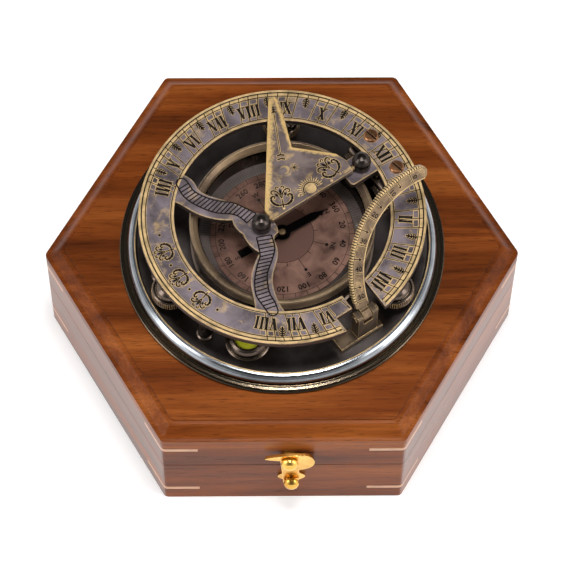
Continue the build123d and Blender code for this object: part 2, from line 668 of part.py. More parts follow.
def case_nodes():
    lid_low = SEAM_Z + SEAM_GAP
    body_keys = corner_keys(CASE_KEY_Z)
    lid_keys = corner_keys(LID_KEY_Z)
    body_boards = cut_for_hinges(side_boards(0, SEAM_Z, body_keys), True)
    lid_boards = cut_for_hinges(side_boards(lid_low, CASE_TOP - TOP_BOARD, lid_keys), False)
    catch_knob = domed_knob(*KNOB_LOW, KNOB_LOW_R, KNOB_FACE)
    pivot_knob = domed_knob(*KNOB_UP, KNOB_UP_R, KNOB_FACE)
    return {
        "case_side_boards": [board - catch_knob for board in body_boards],
        "case_corner_keys": body_keys,
        "case_bottom_board": [slab(hexagon(CASE_APOTHEM - WALL, 0), 0, BOTTOM_BOARD)],
        "case_floor_felt": [felt_sheet(BOTTOM_BOARD)],
        "case_nest_block": [nest_block()],
        "case_hinge_leaves": [hinge_leaf(x, True) for x in (-HINGE_X, HINGE_X)],
        "case_hinge_screws": leaf_screws(-HINGE_X, True) + leaf_screws(HINGE_X, True),
        "case_hinge_pins": [along_x(BARREL_PIN_R, x - HINGE_LEN / 2, x + HINGE_LEN / 2, BARREL_Y, BARREL_Z)
                            for x in (-HINGE_X, HINGE_X)],
        "latch_catch_plate": [diamond_plate()],
        "latch_catch_knob": [catch_knob],
        "lid_side_boards": [board - pivot_knob for board in lid_boards],
        "lid_corner_keys": lid_keys,
        "lid_top_board": [lid_top_board()],
        "lid_felt": [felt_sheet(CASE_TOP - TOP_BOARD - FELT)],
        "lid_hinge_leaves": [hinge_leaf(x, False) for x in (-HINGE_X, HINGE_X)],
        "lid_hinge_screws": leaf_screws(-HINGE_X, False) + leaf_screws(HINGE_X, False),
        "latch_pivot_washer": [pivot_washer()],
        "latch_pivot_knob": [pivot_knob],
        "latch_lever": [latch_lever()],
    }


def dial_nodes():
    screws = {f"levelling_screw_{i + 1}": [levelling_screw(a)] for i, a in enumerate(SCREW_AZIMUTHS)}
    nodes = {
        "base_dish": [base_dish()],
        "compass_box": [compass_box()],
        "compass_bezel": [compass_bezel()],
        "compass_glass": [compass_glass()],
        "glass_seat_ring": [glass_seat()],
        "compass_card": [compass_card()],
        "compass_degree_ring": [degree_ring()],
        "needle_pivot": [needle_pivot()],
        "compass_needle": [compass_needle()],
        "needle_cap": [needle_cap()],
        "level_housing": [level_housing()],
        "level_vial": [level_vial()],
        "ring_rest_pillars": rest_pillars(),
        "latitude_clevis": [latitude_clevis()],
        "latitude_pin": [clevis_pin()],
        "latitude_arc": [latitude_arc()],
        "tilt_hinge_block": [tilt_block()],
        "tilt_hinge_pin": [tilt_pin()],
        "tilt_hinge_bracket": [tilt_bracket()],
        "hour_ring": [hour_ring()],
        "hour_ring_screws": ring_screws(),
        "gnomon_post_south": [gnomon_post(POST_SOUTH, 1)],
        "gnomon_post_north": [gnomon_post(POST_NORTH, -1)],
        "gnomon_plate": [gnomon_plate()],
        "gnomon_pins": gnomon_pins(),
    }
    nodes.update(screws)
    return {name: place_on_lid(pieces) for name, pieces in nodes.items()}


def main():
    os.makedirs("parts", exist_ok=True)
    nodes = {**case_nodes(), **dial_nodes()}
    for name, pieces in nodes.items():
        solids = [solid for piece in pieces for solid in piece.solids()]
        shape = solids[0] if len(solids) == 1 else Compound(solids)
        export_step(shape, f"parts/{name}.step")
    print(len(nodes), "nodes")


main()
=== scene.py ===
"""Looks of the sundial compass on its hexagonal case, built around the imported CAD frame.

Metres in Blender; the dial's own drawings are in millimetres in the dial frame:
n towards the noon mark, l towards the morning hours, z up from the dial's foot.
"""
import bpy
import math
from mathutils import Matrix, Vector


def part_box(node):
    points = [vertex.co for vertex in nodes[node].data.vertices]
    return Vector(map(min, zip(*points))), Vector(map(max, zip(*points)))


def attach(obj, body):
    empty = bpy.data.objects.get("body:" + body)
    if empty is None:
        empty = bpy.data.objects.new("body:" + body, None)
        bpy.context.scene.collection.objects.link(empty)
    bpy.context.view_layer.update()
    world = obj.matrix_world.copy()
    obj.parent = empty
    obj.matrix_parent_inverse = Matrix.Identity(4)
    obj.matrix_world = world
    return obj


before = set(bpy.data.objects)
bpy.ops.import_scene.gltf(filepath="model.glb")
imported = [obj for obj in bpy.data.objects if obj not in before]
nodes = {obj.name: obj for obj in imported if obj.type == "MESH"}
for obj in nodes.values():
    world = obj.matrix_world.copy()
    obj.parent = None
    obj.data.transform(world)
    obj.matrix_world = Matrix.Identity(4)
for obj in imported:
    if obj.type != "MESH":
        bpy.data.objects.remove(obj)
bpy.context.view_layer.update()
MM = 0.001

# ---- places taken from the CAD frame (millimetres in the dial frame) ----
NOON = math.radians(34.7)            # azimuth of the noon mark
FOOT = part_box("base_dish")[0].z      # height of the dial's foot, metres
RING_TOP = 25.8                      # upper face of the hour ring
RING_R = 52.3
RING_IN = 39.3
CARD_Z = 10.0                        # upper face of the compass card
GNOMON_TOP = 28.9                    # upper face of the folded gnomon
ARC_N = 39.0                         # centre of the latitude arc, along noon
ARC_LINE = -47.0                     # its hinge line, towards the morning hours
ARC_Z = 19.0                         # height of that line
ARC_LEAN = math.radians(43.5)
ARC_FACE = 0.8                       # half the arc's thickness
ARC_IN = 33.2
ARC_OUT = 38.5
SCREW_RING = 47.0                    # radius on which the levelling screws stand
SCREW_AZIMUTHS = (-184.7, -64.7, 55.3)
LEVEL_AT = (42.8, -142.1)            # radius and azimuth of the level
NEEDLE_TURN = -4.2                   # degrees from noon to magnetic north
FLOOR_Z = 4.2                        # floor of the dish
LIP_R = 54.3                         # lip of the dish
LIP_Z = 5.9
RING_SCREW_AT = 45.4                 # screws beside XII, along noon
RING_SCREW_SIDE = 8.0                # and to either side of it
RING_SCREW_SLOT = 100.0              # turn of their slots, degrees


def dial_point(n, l, z):
    """World point, in metres, of a point of the dial frame in millimetres."""
    x = n * math.cos(NOON) - l * math.sin(NOON)
    y = n * math.sin(NOON) + l * math.cos(NOON)
    return Vector((x * MM, y * MM, z * MM + FOOT))


def polar(radius, degrees):
    return (radius * math.cos(math.radians(degrees)), radius * math.sin(math.radians(degrees)))


def around(centre, radius, degrees):
    x, y = polar(radius, degrees)
    return (centre[0] + x, centre[1] + y)


# ---- node helpers ----

def srgb(red, green, blue):
    """Linear colour from 0-255 display values."""
    def linear(v):
        v /= 255
        return v / 12.92 if v <= 0.04045 else ((v + 0.055) / 1.055) ** 2.4
    return (linear(red), linear(green), linear(blue), 1.0)


def add(tree, kind, inputs=None, **settings):
    """Node with its settings, and its inputs joined or set by name or number."""
    node = tree.nodes.new(kind)
    for key, value in settings.items():
        setattr(node, key, value)
    for key, value in (inputs or {}).items():
        if isinstance(value, bpy.types.NodeSocket):
            tree.links.new(value, node.inputs[key])
        else:
            node.inputs[key].default_value = value
    return node


def new_material(name):
    """Material, its node tree, its shader and its rest coordinates in metres."""
    material = bpy.data.materials.new(name)
    material.use_nodes = True
    tree = material.node_tree
    at = add(tree, "ShaderNodeTexCoord").outputs["Object"]
    return material, tree, tree.nodes["Principled BSDF"], at


def ramp(tree, factor, stops):
    node = add(tree, "ShaderNodeValToRGB", {"Fac": factor})
    elements = node.color_ramp.elements
    while len(elements) < len(stops):
        elements.new(0.5)
    for element, (position, colour) in zip(elements, stops):
        element.position = position
        element.color = colour
    return node.outputs["Color"]


def grey(value):
    return (value, value, value, 1.0)


def noise(tree, vector, scale, detail=4.0, rough=0.55, distortion=0.0):
    node = add(tree, "ShaderNodeTexNoise", {"Vector": vector, "Scale": scale, "Detail": detail,
                                            "Roughness": rough, "Distortion": distortion})
    return node.outputs["Fac"]


def mix_colour(tree, factor, first, second, blend="MIX"):
    node = tree.nodes.new("ShaderNodeMix")
    node.data_type = "RGBA"
    node.blend_type = blend
    for socket, value in ((node.inputs[0], factor), (node.inputs[6], first), (node.inputs[7], second)):
        if isinstance(value, bpy.types.NodeSocket):
            tree.links.new(value, socket)
        else:
            socket.default_value = value
    return node.outputs[2]


def maths(tree, operation, first, second=0.5, clamp=False):
    node = add(tree, "ShaderNodeMath", {0: first, 1: second}, operation=operation, use_clamp=clamp)
    return node.outputs[0]


def map_range(tree, value, low, high, to_low=0.0, to_high=1.0):
    node = add(tree, "ShaderNodeMapRange", {"Value": value, "From Min": low, "From Max": high,
                                            "To Min": to_low, "To Max": to_high})
    return node.outputs["Result"]


def dot(tree, first, second):
    node = add(tree, "ShaderNodeVectorMath", {0: first, 1: second}, operation="DOT_PRODUCT")
    return node.outputs["Value"]


def mapped(tree, vector, scale=(1.0, 1.0, 1.0), turn=0.0, shift=(0.0, 0.0, 0.0)):
    """Coordinates stretched, turned about z in radians, and shifted."""
    node = add(tree, "ShaderNodeMapping", {"Vector": vector, "Scale": scale, "Rotation": (0.0, 0.0, turn),
                                           "Location": shift})
    return node.outputs[0]


def axis_distance(tree, at):
    """Distance from the dial's axis, in metres."""
    flat = add(tree, "ShaderNodeVectorMath", {0: at, 1: (1.0, 1.0, 0.0)}, operation="MULTIPLY").outputs[0]
    return add(tree, "ShaderNodeVectorMath", {0: flat}, operation="LENGTH").outputs["Value"]


def edge_mask(tree, radius):
    """Round-over normal, and a mask that is 1 where the surface turns within the radius in millimetres."""
    rounded = add(tree, "ShaderNodeBevel", {"Radius": radius * MM}, samples=6).outputs["Normal"]
    flat = add(tree, "ShaderNodeNewGeometry").outputs["Normal"]
    return rounded, map_range(tree, dot(tree, rounded, flat), 0.995, 0.80)


def add_bump(tree, bsdf, height, strength, distance, **normal):
    """Relief of a pattern, its distance in metres; Normal= gives the surface it lies on."""
    inputs = {"Strength": strength, "Distance": distance, "Height": height, **normal}
    bump = add(tree, "ShaderNodeBump", inputs)
    tree.links.new(bump.outputs[0], bsdf.inputs["Normal"])


# ---- materials ----

def line_mask(tree, at, start, end, width):
    """1 near a straight line between two points of the dial frame, in millimetres, with a ragged border."""
    first, last = dial_point(*start, 0), dial_point(*end, 0)
    along = (last - first).normalized()
    across = Vector((along.y, -along.x, 0))
    beside = maths(tree, "SUBTRACT", dot(tree, at, tuple(across)), across.dot(first))
    beside = maths(tree, "ABSOLUTE", beside)
    reach = dot(tree, at, tuple(along))
    before = maths(tree, "SUBTRACT", along.dot(first), reach)
    after = maths(tree, "SUBTRACT", reach, along.dot(last))
    distance = maths(tree, "MAXIMUM", beside, maths(tree, "MAXIMUM", before, after))
    swing = 0.45 * width * MM
    ragged = map_range(tree, noise(tree, at, 900.0, 5.0, 0.75), 0.3, 0.7, -swing, swing)
    return map_range(tree, maths(tree, "ADD", distance, ragged), width * MM, 0.3 * width * MM)


SOFT_EDGE = 0.25        # millimetres by which brass edges are rounded over


def brass(name, dark, middle, bright, rough=0.32, wear=0.5, blotch=90.0, wear_amount=1.0, metallic=1.0,
          sides=None, patches=0.0, worn_lines=()):
    """Patinated brass: blotched colour, brighter where its edges are worn, fine scratches.

    sides = (height in millimetres over the dial's foot, colour) paints shade: it darkens what lies below
    that height, the sides that lie in shade;
    patches is how far rubbed spots show; worn_lines are (start, end, width) in the dial frame.
    """
    material, tree, bsdf, at = new_material(name)
    clouds = noise(tree, at, blotch, 5.0, 0.62, 0.4)
    base = ramp(tree, clouds, [(0.34, dark), (0.62, middle)])
    _, edges = edge_mask(tree, wear)
    ragged = map_range(tree, noise(tree, at, 900.0, 3.0), 0.24, 0.55)
    worn = maths(tree, "MULTIPLY", edges, maths(tree, "MULTIPLY", ragged, wear_amount), clamp=True)
    for start, end, width in worn_lines:
        worn = maths(tree, "MAXIMUM", worn, line_mask(tree, at, start, end, width))
    if patches > 0:
        rubbed = map_range(tree, noise(tree, at, 190.0, 6.0, 0.72, 0.3), 0.54, 0.68)
        worn = maths(tree, "MAXIMUM", worn, maths(tree, "MULTIPLY", rubbed, patches))
    colour = mix_colour(tree, worn, base, bright)
    # Painted shade: what lies below the given height, the sides, takes the dark colour.
    if sides:
        height = add(tree, "ShaderNodeSeparateXYZ", {0: at}).outputs["Z"]
        level = FOOT + sides[0] * MM
        colour = mix_colour(tree, map_range(tree, height, level, level - 0.3 * MM), colour, sides[1])
    tree.links.new(colour, bsdf.inputs["Base Color"])
    bsdf.inputs["Metallic"].default_value = metallic
    scratches = noise(tree, mapped(tree, at, (3000.0, 400.0, 400.0), 0.6), 1.0, 2.0)
    tree.links.new(map_range(tree, clouds, 0.3, 0.7, rough - 0.06, rough + 0.10), bsdf.inputs["Roughness"])
    normal, _ = edge_mask(tree, SOFT_EDGE)
    add_bump(tree, bsdf, scratches, 0.10, 0.00003, Normal=normal)
    return material


# Radii between which the dish's colour changes, in metres.
FLANGE_FROM = (0.0536, 0.0540)
GROOVE_FROM = (0.0566, 0.0574)


def dish_material():
    """Base dish: dull floor inside the lip, turned flange outside it coloured bright bluish-white as
    painted reflection of the lights, dark groove at the rim.
    """
    material, tree, bsdf, at = new_material("dish_brass")
    radius = axis_distance(tree, at)
    clouds = noise(tree, at, 50.0, 4.0, 0.6, 0.4)
    floor = ramp(tree, clouds, [(0.35, srgb(86, 78, 74)), (0.65, srgb(128, 120, 118))])
    # Painted reflection: the flange's bright bluish-white colour stands for the lights mirrored in its
    # polish.
    flange = ramp(tree, clouds, [(0.35, srgb(136, 140, 144)), (0.65, srgb(184, 188, 194))])
    outside = map_range(tree, radius, *FLANGE_FROM)
    inner = mix_colour(tree, outside, floor, flange)
    colour = mix_colour(tree, map_range(tree, radius, *GROOVE_FROM), inner, srgb(76, 68, 58))
    _, edges = edge_mask(tree, 0.15)
    tree.links.new(mix_colour(tree, edges, colour, srgb(206, 184, 150)), bsdf.inputs["Base Color"])
    bsdf.inputs["Metallic"].default_value = 1.0
    turned_at = add(tree, "ShaderNodeCombineXYZ", {0: radius}).outputs[0]
    grooves = noise(tree, turned_at, 4000.0, 1.0)
    tree.links.new(map_range(tree, outside, 0.0, 1.0, 0.30, 0.17), bsdf.inputs["Roughness"])
    add_bump(tree, bsdf, grooves, 0.05, 0.00002)
    return material


def wood(name, grain_angle, dark, middle, light, gloss=0.5):
    """Oiled hardwood with long streaks along the grain, pores and growth bands."""
    material, tree, bsdf, at = new_material(name)
    along = mapped(tree, at, turn=-grain_angle)
    streaks = noise(tree, mapped(tree, along, (5.0, 70.0, 70.0)), 1.0, 4.0, 0.6, 0.9)
    bands = mapped(tree, along, (3.0, 22.0, 22.0), shift=(0.3, 0.2, 0.6))
    broad = noise(tree, bands, 1.0, 3.0, 0.5, 1.2)
    fibre = noise(tree, mapped(tree, along, (45.0, 1500.0, 1500.0)), 1.0, 2.0, 0.6)
    pores = noise(tree, mapped(tree, along, (160.0, 2400.0, 2400.0)), 1.0, 1.0, 0.5)
    mixed = maths(tree, "ADD", maths(tree, "MULTIPLY", streaks, 0.55), maths(tree, "MULTIPLY", broad, 0.45))
    base = ramp(tree, mixed, [(0.36, dark), (0.50, middle), (0.66, light)])
    fibre_shade = ramp(tree, fibre, [(0.3, grey(0.74)), (0.7, grey(1.06))])
    pore_shade = ramp(tree, pores, [(0.30, grey(0.55)), (0.40, grey(1.0))])
    fine = mix_colour(tree, 1.0, base, fibre_shade, "MULTIPLY")
    pitted = mix_colour(tree, 1.0, fine, pore_shade, "MULTIPLY")
    tree.links.new(pitted, bsdf.inputs["Base Color"])
    tree.links.new(map_range(tree, streaks, 0.3, 0.7, 0.26, 0.36), bsdf.inputs["Roughness"])
    bsdf.inputs["Specular IOR Level"].default_value = gloss
    normal, _ = edge_mask(tree, 0.5)
    add_bump(tree, bsdf, pores, 0.25, 0.00005, Normal=normal)
    return material


def felt_material():
    material, tree, bsdf, at = new_material("felt")
    tufts = noise(tree, at, 1400.0, 5.0, 0.7)
    colour = ramp(tree, tufts, [(0.3, srgb(18, 42, 28)), (0.7, srgb(44, 82, 56))])
    tree.links.new(colour, bsdf.inputs["Base Color"])
    bsdf.inputs["Roughness"].default_value = 0.95
    bsdf.inputs["Sheen Weight"].default_value = 0.4
    add_bump(tree, bsdf, tufts, 0.6, 0.0003)
    return material


# Radii between which the card's colour changes, in metres.
# Inside the first of these radii the middle is darker: painted shade of the gnomon over the card.
CARD_PAINTED_SHADE_MIDDLE = (0.0118, 0.0116)
CARD_BORDER = (0.0264, 0.0267)


def card_material():
    """Coppered compass card: rosy disc with a duller, darker middle that is painted shade of the gnomon,
    and a dark border.
    """
    material, tree, bsdf, at = new_material("copper_card")
    clouds = noise(tree, at, 120.0, 4.0, 0.6, 0.5)
    rosy = ramp(tree, clouds, [(0.32, srgb(102, 72, 60)), (0.66, srgb(168, 126, 108))])
    radius = axis_distance(tree, at)
    # Painted shade: the darker middle disc stands for the gnomon's shade on the card.
    middle = mix_colour(tree, map_range(tree, radius, *CARD_PAINTED_SHADE_MIDDLE), rosy, srgb(124, 90, 78))
    colour = mix_colour(tree, map_range(tree, radius, *CARD_BORDER), middle, srgb(58, 50, 50))
    tree.links.new(colour, bsdf.inputs["Base Color"])
    bsdf.inputs["Metallic"].default_value = 0.55
    tree.links.new(map_range(tree, clouds, 0.3, 0.7, 0.34, 0.46), bsdf.inputs["Roughness"])
    return material


def plain_metal(name, colour, rough, metallic=1.0, depth=0.72):
    """Metal of one colour, clouded down to a share of it."""
    material, tree, bsdf, at = new_material(name)
    clouds = noise(tree, at, 300.0, 4.0)
    darker = tuple(depth * c for c in colour[:3]) + (1.0,)
    tree.links.new(ramp(tree, clouds, [(0.3, darker), (0.6, colour)]), bsdf.inputs["Base Color"])
    tree.links.new(map_range(tree, clouds, 0.3, 0.7, rough - 0.05, rough + 0.05), bsdf.inputs["Roughness"])
    bsdf.inputs["Metallic"].default_value = metallic
    normal, _ = edge_mask(tree, 0.2)
    tree.links.new(normal, bsdf.inputs["Normal"])
    return material


def glass_material():
    material, tree, bsdf, at = new_material("clear_glass")
    smears = noise(tree, at, 60.0, 3.0)
    bsdf.inputs["Base Color"].default_value = (1.0, 1.0, 1.0, 1.0)
    bsdf.inputs["Transmission Weight"].default_value = 1.0
    bsdf.inputs["IOR"].default_value = 1.08
    tree.links.new(map_range(tree, smears, 0.3, 0.7, 0.0, 0.03), bsdf.inputs["Roughness"])
    return material


def liquid_material():
    """Yellow-green spirit of the level."""
    material, tree, bsdf, at = new_material("level_liquid")
    shade = noise(tree, at, 200.0, 2.0)
    tree.links.new(ramp(tree, shade, [(0.3, srgb(168, 176, 24)), (0.7, srgb(214, 214, 60))]),
                   bsdf.inputs["Base Color"])
    bsdf.inputs["Roughness"].default_value = 0.08
    bsdf.inputs["Coat Weight"].default_value = 1.0
    bsdf.inputs["Coat Roughness"].default_value = 0.03
    return material


def ink_material():
    """Black filling of the engraved lines; it also serves as painted shade on the bottoms of the ring
    screws' slots.
    """
    material, tree, bsdf, at = new_material("engraved_black_and_slot_shade")
    grains = noise(tree, at, 2500.0, 2.0)
    tree.links.new(ramp(tree, grains, [(0.35, srgb(14, 10, 8)), (0.75, srgb(40, 30, 24))]),
                   bsdf.inputs["Base Color"])
    bsdf.inputs["Roughness"].default_value = 0.75
    bsdf.inputs["Specular IOR Level"].default_value = 0.15
    return material


GOLD = srgb(222, 186, 128)
# Painted shade on the hour ring's sides: the height below which it starts, and its dark colour.
RING_PAINTED_SIDE_SHADE = (RING_TOP - 0.3, srgb(70, 58, 52))
# Rubbed lines along the gnomon's edges: start, end, width.
GNOMON_WEAR = (((-5.2, 3.77), (21.6, 39.8), 3.0), ((24.9, 40.4), (17.8, 19.4), 1.1),
               ((17.8, 19.4), (29.4, 8.0), 1.5))
MATERIALS = {
    "felt": felt_material(),
    "ring": brass("ring_brass", srgb(86, 76, 78), srgb(138, 126, 132), GOLD, 0.36, 1.2,
                  metallic=0.55, sides=RING_PAINTED_SIDE_SHADE, patches=0.55),
    "gnomon": brass("gnomon_brass", srgb(84, 72, 72), srgb(134, 118, 114), srgb(232, 194, 128), 0.36, 0.8,
                    110.0, metallic=0.55, patches=0.5, worn_lines=GNOMON_WEAR),
    "aged": brass("aged_brass", srgb(116, 92, 66), srgb(172, 144, 104), GOLD, 0.34, 0.5, metallic=0.7),
    "arc": brass("arc_brass", srgb(84, 66, 50), srgb(140, 116, 88), GOLD, 0.34, 0.45, 160.0,
                 metallic=0.55, patches=0.5),
    "dark": brass("dark_brass", srgb(72, 62, 56), srgb(112, 98, 88), srgb(206, 178, 134), 0.20, 0.25,
                  60.0, 0.8),
    "post": brass("post_brass", srgb(48, 42, 40), srgb(82, 74, 70), srgb(190, 160, 118), 0.26, 0.25,
                  60.0, 0.6),
    "clevis": brass("clevis_brass", srgb(58, 48, 40), srgb(112, 94, 74), GOLD, 0.32, 0.5, 120.0,
                    metallic=0.7),
    "dish": dish_material(),
    "gold": brass("gold_brass", srgb(206, 150, 62), srgb(246, 200, 104), srgb(255, 232, 164), 0.20, 0.3,
                  70.0),
    "copper": plain_metal("copper_screws", srgb(158, 112, 78), 0.3),
    "card": card_material(),
    "black": plain_metal("blackened_steel", srgb(34, 30, 32), 0.35),
    "glass": glass_material(),
    "liquid": liquid_material(),
    "ink": ink_material(),
    "scale": plain_metal("scale_ring_brass", srgb(98, 86, 80), 0.5, 0.35),
    "dim": plain_metal("scale_grey", srgb(34, 28, 26), 0.6, 0.1),
    "bezel": brass("bezel_brass", srgb(98, 80, 64), srgb(150, 126, 98), srgb(240, 212, 164), 0.34, 0.35,
                   60.0, metallic=0.6),
    "rim": plain_metal("worn_rim", srgb(222, 188, 134), 0.42, 0.45, 0.5),
    "key": wood("maple_keys", 0.0, srgb(196, 140, 100), srgb(222, 166, 126), srgb(236, 186, 148)),
}
WOOD_DARK, WOOD_MID, WOOD_LIGHT = srgb(64, 27, 9), srgb(122, 59, 19), srgb(166, 92, 38)
TOP_GLOSS, FRONT_GLOSS, SIDE_GLOSS = 0.10, 0.10, 0.7
NODE_LOOKS = {
    "felt": ["case_floor_felt", "case_nest_block", "lid_felt"],
    "key": ["case_corner_keys", "lid_corner_keys"],
    "ring": ["hour_ring"],
    "arc": ["latitude_arc"],
    "clevis": ["latitude_clevis", "latitude_pin"],
    "post": ["gnomon_post_south", "gnomon_post_north"],
    "gnomon": ["gnomon_plate"],
    "bezel": ["compass_bezel"],
    "aged": ["gnomon_pins", "needle_cap"],
    "dark": ["compass_box", "ring_rest_pillars", "tilt_hinge_block", "tilt_hinge_pin", "tilt_hinge_bracket",
             "levelling_screw_1", "levelling_screw_2", "levelling_screw_3", "level_housing",
             "glass_seat_ring"],
    "scale": ["compass_degree_ring"],
    "dish": ["base_dish"],
    "gold": ["case_hinge_leaves", "case_hinge_screws", "case_hinge_pins", "lid_hinge_leaves",
             "lid_hinge_screws", "latch_catch_plate", "latch_catch_knob", "latch_pivot_washer",
             "latch_pivot_knob", "latch_lever"],
    "copper": ["hour_ring_screws"],
    "card": ["compass_card"],
    "black": ["compass_needle", "needle_pivot"],
    "glass": ["compass_glass"],
    "liquid": ["level_vial"],
}


def dress(node, material):
    node.data.materials.clear()
    node.data.materials.append(material)


def dress_boards(node, grain_of, gloss_of):
    """Gives each board of a node the wood whose grain runs along that board, with its own gloss."""
    angles = sorted({grain_of(p.center) for p in node.data.polygons})
    node.data.materials.clear()
    for angle in angles:
        gloss = gloss_of(angle)
        name = f"walnut_{round(math.degrees(angle))}_{round(100 * gloss)}"
        found = bpy.data.materials.get(name)
        node.data.materials.append(found or wood(name, angle, WOOD_DARK, WOOD_MID, WOOD_LIGHT, gloss))
    for polygon in node.data.polygons:
        polygon.material_index = angles.index(grain_of(polygon.center))


def side_grain(centre):
    """Grain angle of the side board that a point belongs to."""
    sixth = math.pi / 3
    board = math.floor(math.atan2(centre.y, centre.x) / sixth) + 0.5
    return round((board * sixth + math.pi / 2) % math.pi, 4)


def side_gloss(angle):
    """The boards square to the latch are duller than the slanting ones."""
    return FRONT_GLOSS if angle == 0.0 else SIDE_GLOSS


def dress_nodes():
    for look, names in NODE_LOOKS.items():
        for name in names:
            dress(nodes[name], MATERIALS[look])
    for name in ("case_side_boards", "lid_side_boards"):
        dress_boards(nodes[name], side_grain, side_gloss)
    for name in ("lid_top_board", "case_bottom_board"):
        dress_boards(nodes[name], lambda centre: 0.0, lambda angle: TOP_GLOSS)


# ---- engraving ----

LIFT = 0.02             # height of a layer of strokes over its face, millimetres
STAGGER = 0.0006        # and how far neighbouring strokes of a layer differ, so that none flickers


class Engraving:
    """Flat strokes on one face: black lines, each with a worn bright border under it."""

    def __init__(self, border=0.17):
        self.border = border
        self.faces = {"ink": [], "rim": [], "dim": []}

    def quad(self, kind, corners):
        self.faces[kind].append(corners)

    def stroke(self, start, end, width, end_width=None, kind="ink", border=None):
        """Straight stroke between two points; its width may change along it."""
        end_width = width if end_width is None else end_width
        border = self.border if border is None else border
        dx, dy = end[0] - start[0], end[1] - start[1]
        size = math.hypot(dx, dy) or 1.0
        ux, uy = dx / size, dy / size
        kinds = [(kind, 0.0)]
        if kind == "ink" and border > 0:
            kinds.append(("rim", border))
        for which, grow in kinds:
            a = (start[0] - grow * ux, start[1] - grow * uy)
            b = (end[0] + grow * ux, end[1] + grow * uy)
            wa, wb = width / 2 + grow, end_width / 2 + grow
            self.quad(which, [(a[0] + wa * uy, a[1] - wa * ux), (b[0] + wb * uy, b[1] - wb * ux),
                              (b[0] - wb * uy, b[1] + wb * ux), (a[0] - wa * uy, a[1] + wa * ux)])

    def path(self, points, width, end_width=None, kind="ink", border=None):
        """Strokes along a row of points, the width running evenly from end to end."""
        end_width = width if end_width is None else end_width
        count = len(points) - 1
        for i in range(count):
            first = width + (end_width - width) * i / count
            second = width + (end_width - width) * (i + 1) / count
            self.stroke(points[i], points[i + 1], first, second, kind, border)

    def arc(self, centre, radius, start, end, width, kind="ink", border=None, steps=None):
        """Arc stroke, its angles in degrees."""
        steps = steps or max(4, int(abs(end - start) / 6))
        points = []
        for i in range(steps + 1):
            share = i / steps
            points.append(around(centre, radius, start + (end - start) * share))
        self.path(points, width, None, kind, border)

    def disc(self, centre, radius, kind="ink", sides=20):
        border = self.border if kind == "ink" else 0
        for which, grow in ((kind, 0.0), ("rim", border)):
            if which == kind or border > 0:
                self.quad(which, [around(centre, radius + grow, 360 * i / sides) for i in range(sides)])

    def shape(self, points, kind="ink"):
        self.quad(kind, list(points))

    def build(self, name, body, place, skip=None):
        """Makes one mesh per kind of stroke. place(x, y, height) gives the world point."""
        for level, kind in ((1, "rim"), (1, "dim"), (2, "ink")):
            vertices, faces = [], []
            for i, corners in enumerate(self.faces[kind]):
                if skip and any(skip(x, y) for x, y in corners):
                    continue
                height = LIFT * level + STAGGER * (i % 9)
                first = len(vertices)
                vertices += [place(x, y, height) for x, y in corners]
                faces.append(list(range(first, len(vertices))))
            if not faces:
                continue
            add_piece(f"{name}_{kind}", vertices, faces, body, MATERIALS[kind])


def add_piece(name, vertices, faces, body, material, smooth=False):
    """Mesh object in the row frame that rides on a CAD body."""
    mesh = bpy.data.meshes.new(name)
    mesh.from_pydata([tuple(v) for v in vertices], [], faces)
    mesh.update()
    for polygon in mesh.polygons:
        polygon.use_smooth = smooth
    mesh.materials.append(material)
    piece = bpy.data.objects.new(name, mesh)
    bpy.context.scene.collection.objects.link(piece)
    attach(piece, body)
    return piece


# ---- Roman numerals, as strokes in a box of the letter's own width ----
NUMERAL_HIGH = 4.7
THICK, THIN, SERIF = 0.95, 0.36, 1.5
LETTER_WIDTH = {"I": 1.75, "V": 3.0, "X": 2.95}


def letter_strokes(letter):
    """Strokes ((x0, y0), (x1, y1), width) of a Roman capital, its middle at the origin."""
    top, half = NUMERAL_HIGH / 2, LETTER_WIDTH[letter] / 2 - 0.55
    serif = SERIF / 2
    strokes = []
    if letter == "I":
        strokes.append(((0, -top), (0, top), THICK))
        serifs = [(0, top), (0, -top)]
    elif letter == "V":
        strokes.append(((-half, top), (0, -top), THICK))
        strokes.append(((half, top), (0, -top), THIN))
        serifs = [(-half, top), (half, top)]
    else:
        strokes.append(((-half, top), (half, -top), THICK))
        strokes.append(((half, top), (-half, -top), THIN))
        serifs = [(x, y) for x in (-half, half) for y in (-top, top)]
    for x, y in serifs:
        strokes.append(((x - serif, y), (x + serif, y), THIN))
    return strokes


def on_ring(radius, degrees, across, outward):
    """Point beside a place on the ring: across to the right when the rim is up."""
    c, s = math.cos(math.radians(degrees)), math.sin(math.radians(degrees))
    return ((radius + outward) * c + across * s, (radius + outward) * s - across * c)


def engrave_numeral(work, text, degrees):
    width = sum(LETTER_WIDTH[c] for c in text)
    left = -width / 2
    for c in text:
        middle = left + LETTER_WIDTH[c] / 2
        turn = degrees - math.degrees(middle / NUMERAL_R)
        for a, b, wide in letter_strokes(c):
            work.stroke(on_ring(NUMERAL_R, turn, *a), on_ring(NUMERAL_R, turn, *b), wide)
        left += LETTER_WIDTH[c]


def engrave_tree(work, degrees):
    """Half-hour mark: a small fir hanging from the rim."""
    work.stroke(on_ring(49.4, degrees, 0, 0), on_ring(45.4, degrees, 0, 0), 0.5, 0.75)
    for radius, reach in ((48.9, 1.15), (48.1, 1.35), (47.3, 1.1), (46.5, 0.75)):
        for side in (-1, 1):
            branch = ((0, 0.25), (side * reach * 0.6, 0.05), (side * reach, -0.55))
            work.path([on_ring(radius, degrees, *point) for point in branch], 0.62, 0.34, border=0.08)


HOUR_CENTRE = -10.5        # hour lines spread from this point of the noon line
HOUR_OFFSET = -0.9         # turn of the whole layout, degrees
BAND_OUT, BAND_IN, FIELD_IN = 51.2, 49.65, 40.45
NUMERAL_R = 44.6
TREE_R = 47.4
